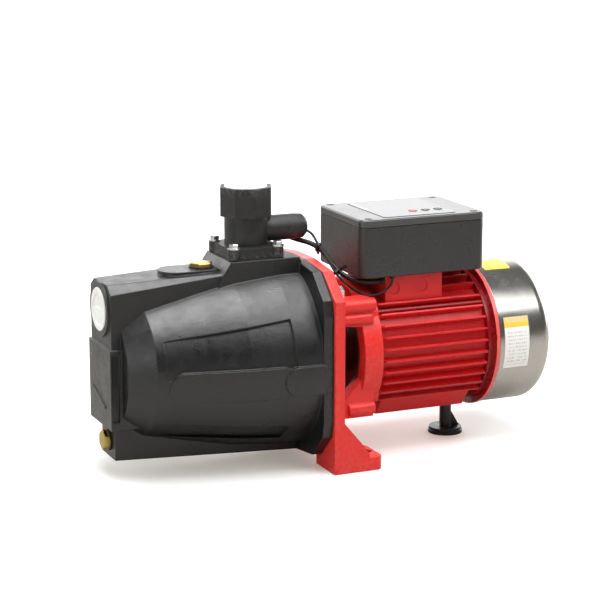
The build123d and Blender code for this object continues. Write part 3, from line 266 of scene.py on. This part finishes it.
def coated(
    name,
    colour,
    rough,
    grain=(900.0, 0.00008),
    waves=(120.0, 0.00012),
    patch=(22.0, 0.18),
    wear=None,
    edge=0.0006,
    rough_swing=0.07,
    **sockets,
):
    """Paint, plastic or metal: patchy colour, uneven roughness, fine grain, slow waves and worn edges.

    grain and waves are (cells a metre, depth), patch is (cells a metre, swing in brightness) and wear
    is (colour, share).
    """
    surface = Surface(name, **sockets)
    cloud = surface.span(surface.noise(patch[0], 5.0, 0.6), 0.32, 0.68)
    tint = surface.blend(cloud, shade(colour, 1 - patch[1]), shade(colour, 1 + patch[1]))
    if wear:
        broken = surface.span(surface.noise(260.0, 4.0, 0.7), 0.45, 0.62)
        worn = surface.maths("MULTIPLY", surface.crests(), broken)
        tint = surface.blend(surface.maths("MULTIPLY", worn, wear[1]), tint, shade(wear[0], 1))
    surface.feed(surface.shader.inputs["Base Color"], tint)
    smears = surface.span(
        surface.noise(55.0, 4.0, 0.65), 0.3, 0.7, rough - rough_swing, rough + rough_swing
    )
    surface.feed(surface.shader.inputs["Roughness"], smears)
    fine = surface.noise(grain[0], 3.0, 0.6)
    slow = surface.noise(waves[0], 2.0, 0.5)
    surface.relief(((slow, waves[1]), (fine, grain[1])), edge)
    return surface


def drawn(name, colour, rough, along=(1.0, 18.0, 18.0), depth=0.00003, patch=0.12):
    """Turned, ground or rolled metal, with fine lines along an axis."""
    surface = Surface(name, Metallic=1.0)
    lines = surface.noise(420.0, 3.0, 0.6, stretch=along)
    cloud = surface.noise(35.0, 4.0, 0.6)
    tint = surface.blend(surface.span(cloud, 0.3, 0.7), shade(colour, 1 - patch), shade(colour, 1 + patch))
    surface.feed(surface.shader.inputs["Base Color"], tint)
    smears = surface.span(lines, 0.3, 0.7, rough - 0.06, rough + 0.08)
    surface.feed(surface.shader.inputs["Roughness"], smears)
    surface.relief(((lines, depth),), 0.0003)
    return surface


def label_white():
    """A blank rating label: an amber head over grey rows that stand for print."""
    surface = Surface("label_white", Roughness=0.42)
    low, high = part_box("side_label")
    height = high.z - low.z
    row_count = 14.0
    side_margin = 0.0025
    paper = surface.blend(surface.noise(60.0), (0.93, 0.92, 0.89, 1.0), (0.96, 0.955, 0.93, 1.0))
    head = surface.span(surface.axis("Z"), low.z + 0.80 * height, low.z + 0.81 * height)
    band = surface.within("Z", low.z + 0.81 * height, low.z + 0.90 * height)
    tint = surface.blend(head, paper, (0.86, 0.62, 0.30, 1.0))
    tint = surface.blend(band, tint, (0.85, 0.64, 0.06, 1.0))
    rows = surface.add("ShaderNodeMath")
    rows.operation = "FRACT"
    surface.join(surface.maths("MULTIPLY", surface.axis("Z"), row_count / height), rows.inputs[0])
    bars = surface.span(rows.outputs["Value"], 0.55, 0.62)
    broken = surface.span(surface.noise(900.0, 2.0, 0.5, stretch=(1.0, 1.0, 0.15)), 0.46, 0.52)
    body_rows = surface.within("Z", low.z + 0.06 * height, low.z + 0.76 * height)
    margin = surface.within("X", low.x + side_margin, high.x - side_margin)
    words = surface.maths("MULTIPLY", bars, broken)
    field = surface.maths("MULTIPLY", body_rows, margin)
    print_share = surface.maths("MULTIPLY", words, field)
    tint = surface.blend(surface.maths("MULTIPLY", print_share, 0.45), tint, (0.25, 0.25, 0.26, 1.0))
    surface.feed(surface.shader.inputs["Base Color"], tint)
    surface.relief(((surface.noise(700.0), 0.00003),))
    return surface


def lid_panel():
    """The lid's overlay film: a thin border line and one pale bar where the maker's print would be."""
    surface = Surface("panel_grey", Roughness=0.24, Specular_IOR_Level=0.8)
    low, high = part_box("lid_panel")
    width, depth = high.x - low.x, high.y - low.y
    film = surface.blend(surface.noise(45.0), (0.115, 0.116, 0.118, 1.0), (0.13, 0.131, 0.133, 1.0))
    border = surface.within("X", low.x, low.x + 0.012 * width)
    bar = surface.maths(
        "MULTIPLY",
        surface.within("X", low.x + 0.025 * width, low.x + 0.055 * width),
        surface.within("Y", low.y + 0.52 * depth, low.y + 0.94 * depth),
    )
    tint = surface.blend(border, film, (0.10, 0.05, 0.045, 1.0))
    tint = surface.blend(bar, tint, (0.60, 0.60, 0.59, 1.0))
    surface.feed(surface.shader.inputs["Base Color"], tint)
    surface.relief(((surface.noise(1400.0), 0.00001),))
    return surface


def shaft_radius(surface):
    """Distance from the shaft's axis."""
    across = surface.maths("POWER", surface.axis("Y"), 2.0)
    above = surface.maths("POWER", surface.maths("SUBTRACT", surface.axis("Z"), SHAFT_HEIGHT), 2.0)
    return surface.maths("SQRT", surface.maths("ADD", across, above), 0.0)


def bracket_paint_and_painted_shade():
    """Bright red paint outside, and near-black painted shade in the hollow round the shaft."""
    surface = coated(
        "bracket_red",
        (0.82, 0.032, 0.027),
        0.32,
        grain=(700.0, 0.00006),
        waves=(90.0, 0.00015),
        patch=(18.0, 0.03),
        rough_swing=0.03,
        wear=((0.80, 0.16, 0.13), 0.25),
        edge=0.0016,
        Specular_IOR_Level=0.4,
    )
    paint = surface.shader.inputs["Base Color"].links[0].from_socket
    # painted shade: the hollow round the shaft is coloured near black so that it reads as shaded
    out_of_painted_shade = surface.span(shaft_radius(surface), PAINTED_SHADE_RADIUS, PAINTED_SHADE_RADIUS + PAINTED_SHADE_FADE)
    tint = surface.blend(out_of_painted_shade, (0.045, 0.002, 0.002, 1.0), paint)
    surface.feed(surface.shader.inputs["Base Color"], tint)
    return surface


def shield_red():
    """Deep red gloss paint, with a painted highlight on the rear shield's narrow rim."""
    surface = coated(
        "bracket_steel",
        (0.26, 0.002, 0.005),
        0.30,
        grain=(700.0, 0.00003),
        patch=(20.0, 0.05),
        edge=0.0005,
        Coat_Weight=0.3,
        Coat_Roughness=0.15,
    )
    # painted highlight: the narrow rim is coloured pale red so that it reads as lit
    rim_highlight = surface.span(shaft_radius(surface), HIGHLIGHT_RIM_RADIUS - 0.0006, HIGHLIGHT_RIM_RADIUS - 0.0002)
    paint = surface.shader.inputs["Base Color"].links[0].from_socket
    tint = surface.blend(rim_highlight, paint, (0.85, 0.12, 0.11, 1.0))
    surface.feed(surface.shader.inputs["Base Color"], tint)
    return surface


SURFACES = {
    "cast_black": coated(
        "cast_black",
        (0.0055, 0.0057, 0.0063),
        0.34,
        grain=(1200.0, 0.00022),
        waves=(75.0, 0.0004),
        patch=(14.0, 0.22),
        wear=((0.09, 0.09, 0.09), 0.25),
        edge=0.0018,
        Specular_IOR_Level=0.7,
    ),
    "bracket_red": bracket_paint_and_painted_shade(),
    "housing_red": coated(
        "housing_red",
        DEEP_RED,
        0.36,
        grain=(800.0, 0.00002),
        waves=(60.0, 0.00006),
        patch=(20.0, 0.04),
        wear=((0.72, 0.05, 0.04), 0.25),
        edge=0.0007,
        rough_swing=0.03,
        Specular_IOR_Level=0.4,
    ),
    "gloss_black": coated(
        "gloss_black",
        (0.46, 0.445, 0.42),
        0.25,
        grain=(300.0, 0.000012),
        waves=(26.0, 0.00006),
        patch=(9.0, 0.06),
        edge=0.0008,
        rough_swing=0.03,
        Metallic=1.0,
    ),
    "switch_black": coated(
        "switch_black",
        (0.016, 0.016, 0.0158),
        0.46,
        grain=(1300.0, 0.00012),
        waves=(150.0, 0.0002),
        patch=(60.0, 0.3),
        wear=((0.09, 0.09, 0.088), 0.7),
        edge=0.0005,
    ),
    "box_grey": coated(
        "box_grey",
        (0.034, 0.034, 0.033),
        0.32,
        grain=(1600.0, 0.00003),
        waves=(60.0, 0.00008),
        patch=(12.0, 0.06),
        edge=0.0006,
    ),
    "lid_grey": coated(
        "lid_grey",
        (0.055, 0.055, 0.054),
        0.24,
        grain=(1600.0, 0.00001),
        waves=(60.0, 0.00002),
        patch=(12.0, 0.06),
        edge=0.0008,
        rough_swing=0.02,
        Specular_IOR_Level=0.8,
    ),
    "panel_grey": lid_panel(),
    "screw_black": coated("screw_black", (0.015, 0.015, 0.015), 0.4, grain=(1500.0, 0.00003), edge=0.0002),
    "tie_black": coated("tie_black", (0.010, 0.010, 0.010), 0.38, grain=(1500.0, 0.00003), edge=0.0002),
    "key_red": coated("key_red", (0.55, 0.05, 0.05), 0.25, grain=(1500.0, 0.00002), edge=0.0002),
    "key_dark": coated("key_dark", (0.05, 0.05, 0.052), 0.3, grain=(1500.0, 0.00002), edge=0.0002),
    "cap_white": coated(
        "cap_white",
        (0.93, 0.93, 0.92),
        0.38,
        grain=(900.0, 0.00004),
        waves=(140.0, 0.0002),
        patch=(40.0, 0.03),
        edge=0.0005,
        Subsurface_Weight=0.25,
        Subsurface_Scale=0.002,
    ),
    "brass": drawn("brass", (0.50, 0.36, 0.10), 0.26),
    "zinc": drawn("zinc", (0.78, 0.78, 0.77), 0.22, along=(6.0, 6.0, 1.0), patch=0.15),
    "steel": drawn("steel", (0.52, 0.52, 0.53), 0.3),
    "chrome_steel": drawn("chrome_steel", (0.62, 0.62, 0.63), 0.12),
    "rubber_black": coated("rubber_black", (0.014, 0.014, 0.014), 0.6, grain=(900.0, 0.00006), edge=0.0002),
    "lead_black": coated(
        "lead_black", (0.008, 0.008, 0.008), 0.36, grain=(1400.0, 0.00004), waves=(300.0, 0.00008), edge=0.0
    ),
    "noryl_black": coated("noryl_black", (0.03, 0.03, 0.032), 0.45, grain=(1200.0, 0.00004), edge=0.0003),
    "ceramic": coated("ceramic", (0.78, 0.77, 0.73), 0.2, grain=(1200.0, 0.00001), edge=0.0002),
    "carbon": coated("carbon", (0.025, 0.025, 0.025), 0.35, grain=(1500.0, 0.00002), edge=0.0002),
    "lamination": drawn("lamination", (0.36, 0.36, 0.37), 0.38, along=(22.0, 1.0, 1.0), depth=0.0001),
    "winding": drawn("winding", (0.62, 0.24, 0.10), 0.3, along=(1.0, 12.0, 12.0), depth=0.0004),
    "board_green": coated("board_green", (0.015, 0.13, 0.05), 0.35, grain=(1500.0, 0.00002), edge=0.0),
    "capacitor_white": coated("capacitor_white", (0.68, 0.68, 0.66), 0.35, edge=0.0003),
    "label_white": label_white(),
    "label_yellow": coated(
        "label_yellow", (0.84, 0.63, 0.08), 0.30, grain=(900.0, 0.00002), patch=(30.0, 0.06), edge=0.0
    ),
    "foot_black": coated(
        "foot_black", (0.007, 0.007, 0.007), 0.34, grain=(900.0, 0.00003), waves=(180.0, 0.0002), edge=0.0006
    ),
    "bracket_steel": shield_red(),
}


def dress(piece, slot):
    """Gives a piece the one material of a slot."""
    piece.data.materials.clear()
    piece.data.materials.append(SURFACES[slot].material)


slot_of = {part["node"]: part["material_slot"] for part in frame["record"]["subparts"]}
for name, node in nodes.items():
    dress(node, slot_of[name])
dress(power_lead, "lead_black")
dress(signal_lead, "lead_black")

# ---------------------------------------------------------------- studio

FLOOR_SIDE = 14.0
PAINTED_SHADOW_REACH = (0.4, 1.4)  # distances from the pump's middle over which the painted warm shadow round the pump fades into the white glow
# emission strength in the painted shadow round the pump, then further away
PAINTED_SHADOW_AND_GLOW_STRENGTH = (0.22, 0.85)

floor_mesh = bpy.data.meshes.new("floor")
half = FLOOR_SIDE / 2
corners = [(-half, -half, 0), (half, -half, 0), (half, half, 0), (-half, half, 0)]
floor_mesh.from_pydata(corners, [], [(0, 1, 2, 3)])
floor = bpy.data.objects.new("floor", floor_mesh)
bpy.context.scene.collection.objects.link(floor)
paper = Surface("studio_paper", Roughness=0.6)
paper.feed(
    paper.shader.inputs["Base Color"],
    paper.blend(paper.noise(3.0), (0.88, 0.89, 0.91, 1.0), (0.90, 0.91, 0.93, 1.0)),
)
# The paper glows white further away; round the pump, where its shadow falls, its glow is weak and warm, a
# painted warm shadow
away = paper.add("ShaderNodeVectorMath", Vector=paper.place)
away.operation = "LENGTH"
beyond_painted_shadow = paper.span(away.outputs["Value"], *PAINTED_SHADOW_REACH)
glow_and_painted_shadow = paper.blend(beyond_painted_shadow, (1.0, 0.90, 0.74, 1.0), (1.0, 1.0, 1.0, 1.0))
glow_strength_with_painted_shadow = paper.span(away.outputs["Value"], *PAINTED_SHADOW_REACH, *PAINTED_SHADOW_AND_GLOW_STRENGTH)
paper.feed(paper.shader.inputs["Emission Color"], glow_and_painted_shadow)
paper.feed(paper.shader.inputs["Emission Strength"], glow_strength_with_painted_shadow)
# In its light on the pump the paper is duller than in the picture, which keeps the undersides dark
dull = paper.add("ShaderNodeBsdfDiffuse", Color=(0.50, 0.48, 0.45, 1.0))
looks = paper.add("ShaderNodeMixShader")
paper.join(paper.add("ShaderNodeLightPath").outputs["Is Camera Ray"], looks.inputs[0])
paper.join(dull.outputs["BSDF"], looks.inputs[1])
paper.join(paper.shader.outputs["BSDF"], looks.inputs[2])
paper.join(looks.outputs["Shader"], paper.output.inputs["Surface"])
floor_mesh.materials.append(paper.material)


def softbox(name, place, aim, size, radiance):
    """A white rectangular area light of even radiance, facing a point."""
    light = bpy.data.lights.new(name, "AREA")
    light.shape = "RECTANGLE"
    light.size, light.size_y = size
    light.energy = radiance * math.pi * size[0] * size[1]
    lamp = bpy.data.objects.new(name, light)
    bpy.context.scene.collection.objects.link(lamp)
    lamp.location = place
    lamp.rotation_mode = "QUATERNION"
    lamp.rotation_quaternion = (Vector(aim) - Vector(place)).to_track_quat("-Z", "Y")


softbox("overhead", (-0.1, -0.15, 1.5), (-0.1, 0.0, 0.1), (1.0, 1.1), 8.4)
softbox("front_top", (0.57, -0.97, 1.37), (0.1, -0.03, 0.12), (0.9, 0.9), 4.4)
softbox("left_fill", (-1.7, -0.8, 0.6), (-0.1, 0.0, 0.12), (0.9, 0.9), 3.1)
softbox("right_card", (1.3, 0.35, 0.42), (0.2, 0.0, 0.1), (1.0, 0.8), 3.2)

# The studio is dim, with a bright backdrop low behind the pump that its glossy faces mirror
STUDIO_DARK = 0.14
STUDIO_BACKDROP = 2.05
BACKDROP_SIDES = (-0.15, 0.55)  # how far towards +Y a direction points where the backdrop fades in
BACKDROP_TOP = (0.42, 0.72)  # how far up a direction points where the backdrop fades out

world = bpy.data.worlds.new("studio")
bpy.context.scene.world = world
world.use_nodes = True
tree = world.node_tree
tree.nodes.clear()


def world_node(kind, **inputs):
    """A new node of the world's tree, with its inputs set or linked by name."""
    node = tree.nodes.new(kind)
    for name, value in inputs.items():
        socket = node.inputs[name.replace("_", " ")]
        if isinstance(value, bpy.types.NodeSocket):
            tree.links.new(value, socket)
        else:
            socket.default_value = value
    return node


def fade(value, reach, to_low, to_high):
    """Maps a value smoothly from a range to another in the world's tree."""
    node = world_node(
        "ShaderNodeMapRange",
        Value=value,
        From_Min=reach[0],
        From_Max=reach[1],
        To_Min=to_low,
        To_Max=to_high,
    )
    node.interpolation_type = "SMOOTHSTEP"
    return node.outputs["Result"]


direction = world_node("ShaderNodeTexCoord").outputs["Generated"]
split = world_node("ShaderNodeSeparateXYZ", Vector=direction)
share = world_node("ShaderNodeMath")
share.operation = "MULTIPLY"
tree.links.new(fade(split.outputs["Y"], BACKDROP_SIDES, 0.0, 1.0), share.inputs[0])
tree.links.new(fade(split.outputs["Z"], BACKDROP_TOP, 1.0, 0.0), share.inputs[1])
level = world_node(
    "ShaderNodeMapRange",
    Value=share.outputs["Value"],
    To_Min=STUDIO_DARK,
    To_Max=STUDIO_BACKDROP,
)
around = world_node("ShaderNodeBackground", Color=(1.0, 1.0, 1.0, 1.0), Strength=level.outputs["Result"])
seen = world_node("ShaderNodeBackground", Color=(1.0, 1.0, 1.0, 1.0), Strength=1.0)
chosen = world_node("ShaderNodeMixShader")
tree.links.new(world_node("ShaderNodeLightPath").outputs["Is Camera Ray"], chosen.inputs[0])
tree.links.new(around.outputs["Background"], chosen.inputs[1])
tree.links.new(seen.outputs["Background"], chosen.inputs[2])
tree.links.new(chosen.outputs["Shader"], world_node("ShaderNodeOutputWorld").inputs["Surface"])
